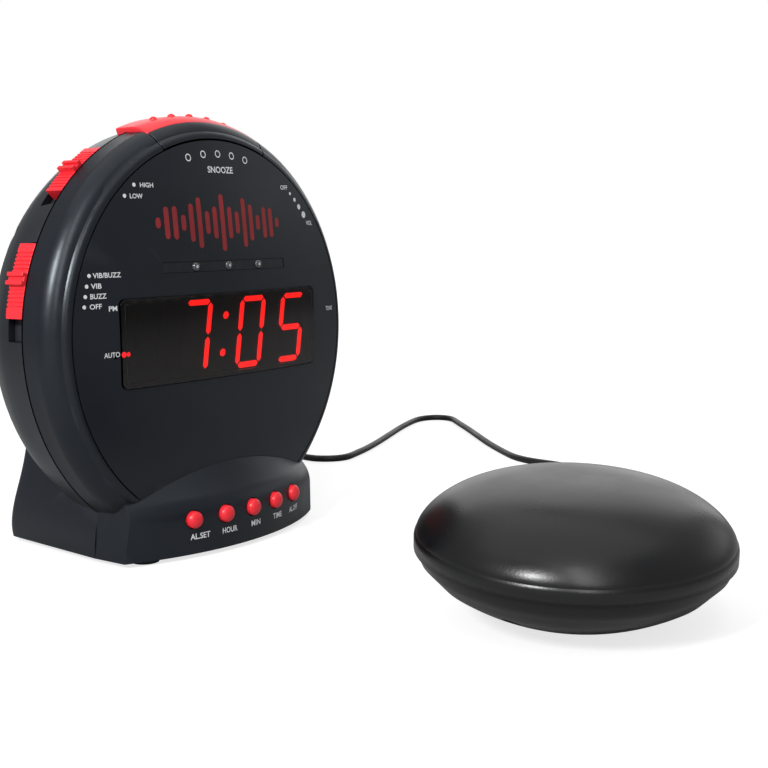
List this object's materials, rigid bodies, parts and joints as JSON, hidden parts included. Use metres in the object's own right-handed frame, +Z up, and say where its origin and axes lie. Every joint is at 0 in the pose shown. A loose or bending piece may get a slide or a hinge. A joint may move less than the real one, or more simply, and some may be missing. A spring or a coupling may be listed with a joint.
{
  "type": "bed shaker alarm clock",
  "caption": "Drum-shaped digital alarm clock on a hooded foot, with a red snooze bar, side sliders and wheels, and a round pillow shaker on a thin lead.",
  "frame": {"origin": "middle of the pair's footprint on the table, under the clock and the shaker without the lead", "axes": "+Z up, -Y the way the clock looks, +X to the right as seen from the front"},
  "size_m": [0.3411, 0.3431, 0.1466],
  "materials": {
    "charcoal_plastic": "satin moulded, blue-black",
    "smoked_lens": "glossy smoked",
    "module_plastic": "matt black",
    "lit_red": "glowing red",
    "unlit_grey": "unlit segments",
    "dark_strip": "glossy",
    "clear_lamp": "clear with round noses",
    "red_lamp": "glossy",
    "board_green": "lacquered board",
    "red_plastic": "satin gloss red",
    "switch_black": "matt black",
    "speaker_steel": "pressed steel",
    "cone_paper": "black paper pulp",
    "magnet_ferrite": "ferrite",
    "battery_skin": "plain jacket",
    "bright_steel": "plated",
    "rubber_black": "matt",
    "shaker_plastic": "satin, fine grain",
    "motor_steel": "plated can",
    "weight_brass": "machined",
    "lead_pvc": "smooth black jacket"
  },
  "bodies": {
    "case": {"front_shell": "charcoal_plastic", "rear_shell": "charcoal_plastic", "face_panel": "charcoal_plastic", "display_lens": "smoked_lens", "display_module": "module_plastic", "lit_digits": "lit_red", "unlit_digits": "unlit_grey", "lamp_strip": "dark_strip", "status_lamps": "clear_lamp", "alarm_lamp": "red_lamp", "main_board": "board_green", "control_board": "board_green", "snooze_switch": "switch_black", "slide_switches": "switch_black", "turning_controls": "switch_black", "button_switches": "switch_black", "switch_rail": "board_green", "speaker_frame": "speaker_steel", "speaker_cone": "cone_paper", "speaker_magnet": "magnet_ferrite", "speaker_screws": "bright_steel", "backup_battery": "battery_skin", "battery_clip": "switch_black", "power_inlet": "switch_black", "lead_jack": "switch_black", "lead_plug": "lead_pvc", "case_screws": "bright_steel", "rubber_pads": "rubber_black", "shaker_bottom": "shaker_plastic", "shaker_top": "shaker_plastic", "shaker_screws": "bright_steel", "shaker_motor": "motor_steel", "motor_clamp": "switch_black", "clamp_screws": "bright_steel", "shaker_boot": "rubber_black", "lead_to_coil": "lead_pvc", "lead_coil": "lead_pvc", "lead_to_shaker": "lead_pvc"},
    "snooze": {"snooze_bar": "charcoal_plastic", "snooze_cap": "red_plastic"},
    "mode": {"mode_slider": "red_plastic"},
    "dimmer": {"dimmer_slider": "red_plastic"},
    "volume": {"volume_wheel": "red_plastic"},
    "tone": {"tone_wheel": "red_plastic"},
    "alarm_set": {"alarm_set_button": "red_plastic"},
    "hour": {"hour_button": "red_plastic"},
    "minute": {"minute_button": "red_plastic"},
    "time": {"time_button": "red_plastic"},
    "alarm_off": {"alarm_off_button": "red_plastic"},
    "door": {"battery_door": "charcoal_plastic"},
    "weight": {"eccentric_weight": "weight_brass"}
  },
  "joints": [
    {"name": "snooze_press", "type": "slide", "parent": "case", "child": "snooze", "axis": [0, 0, -1], "range_m": [0, 0.0005], "stiffness_N_per_m": 2400, "springref_m": -0.0004},
    {"name": "mode_slide", "type": "hinge", "parent": "case", "child": "mode", "pos_m": [0, 0.0595, 0.0725], "axis": [0, -1, 0], "range_deg": [0, 5.4]},
    {"name": "dimmer_slide", "type": "hinge", "parent": "case", "child": "dimmer", "pos_m": [0, 0.0595, 0.0725], "axis": [0, -1, 0], "range_deg": [0, 3.5]},
    {"name": "volume_turn", "type": "hinge", "parent": "case", "child": "volume", "pos_m": [0.04359, 0.0789, 0.11908], "axis": [0, -1, 0], "range_deg": [-135, 135]},
    {"name": "tone_turn", "type": "hinge", "parent": "case", "child": "tone", "pos_m": [0.06359, 0.0789, 0.07762], "axis": [0, -1, 0], "range_deg": [-135, 135]},
    {"name": "alarm_set_press", "type": "slide", "parent": "case", "child": "alarm_set", "axis": [0.2688, 0.9632, 0], "range_m": [0, 0.0008], "stiffness_N_per_m": 1500, "springref_m": -0.0004},
    {"name": "hour_press", "type": "slide", "parent": "case", "child": "hour", "axis": [0.1344, 0.9909, 0], "range_m": [0, 0.0008], "stiffness_N_per_m": 1500, "springref_m": -0.0004},
    {"name": "minute_press", "type": "slide", "parent": "case", "child": "minute", "axis": [0, 1, 0], "range_m": [0, 0.0008], "stiffness_N_per_m": 1500, "springref_m": -0.0004},
    {"name": "time_press", "type": "slide", "parent": "case", "child": "time", "axis": [-0.1344, 0.9909, 0], "range_m": [0, 0.0008], "stiffness_N_per_m": 1500, "springref_m": -0.0004},
    {"name": "alarm_off_press", "type": "slide", "parent": "case", "child": "alarm_off", "axis": [-0.2688, 0.9632, 0], "range_m": [0, 0.0008], "stiffness_N_per_m": 1500, "springref_m": -0.0004},
    {"name": "door_slide", "type": "slide", "parent": "case", "child": "door", "axis": [0, 1, 0], "range_m": [0, 0.034]},
    {"name": "weight_spin", "type": "hinge", "parent": "case", "child": "weight", "pos_m": [-0.00385, -0.07225, 0.02009], "axis": [0.7045, 0.7045, 0.0854], "continuous": true}
  ]
}
